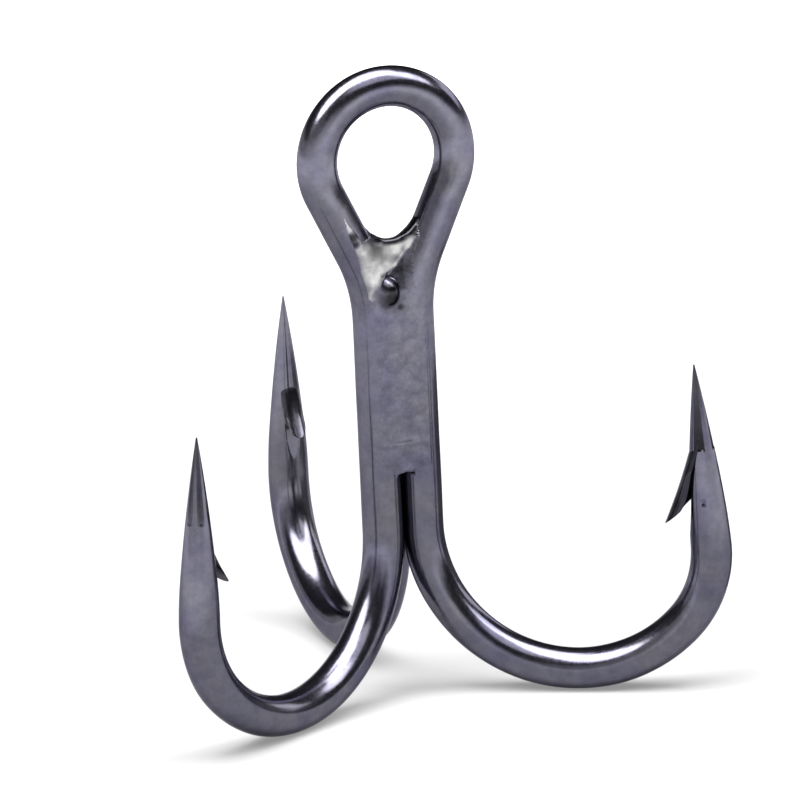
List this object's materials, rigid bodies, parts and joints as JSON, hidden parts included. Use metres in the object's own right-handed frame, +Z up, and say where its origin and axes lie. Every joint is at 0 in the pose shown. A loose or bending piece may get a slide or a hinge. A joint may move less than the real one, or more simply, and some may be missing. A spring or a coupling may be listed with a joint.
{
  "type": "treble hook",
  "caption": "Short-shank fishing treble: barbed points on wide round bends at equal angles, brazed to a common shank that ends in a large closed teardrop eye.",
  "frame": {"origin": "on the surface that the bends stand on, under the middle of the hook's bounding box; the shank's axis stands 3.04 mm towards -Y from it", "axes": "+Z up the shank towards the eye, +Y towards the single hook's point, -Y is the brazed front of the double hook, and the eye lies in an XZ plane"},
  "size_m": [0.0226, 0.0198, 0.0249],
  "materials": {
    "hook_wire": "glossy black nickel plating over hardened high-carbon steel wire",
    "braze": "braze under the same black nickel plating, satin and slightly rippled"
  },
  "bodies": {
    "root": {"double_hook": "hook_wire", "single_hook": "hook_wire", "braze_front": "braze", "braze_core": "braze", "braze_right": "braze", "braze_left": "braze"}
  },
  "joints": []
}
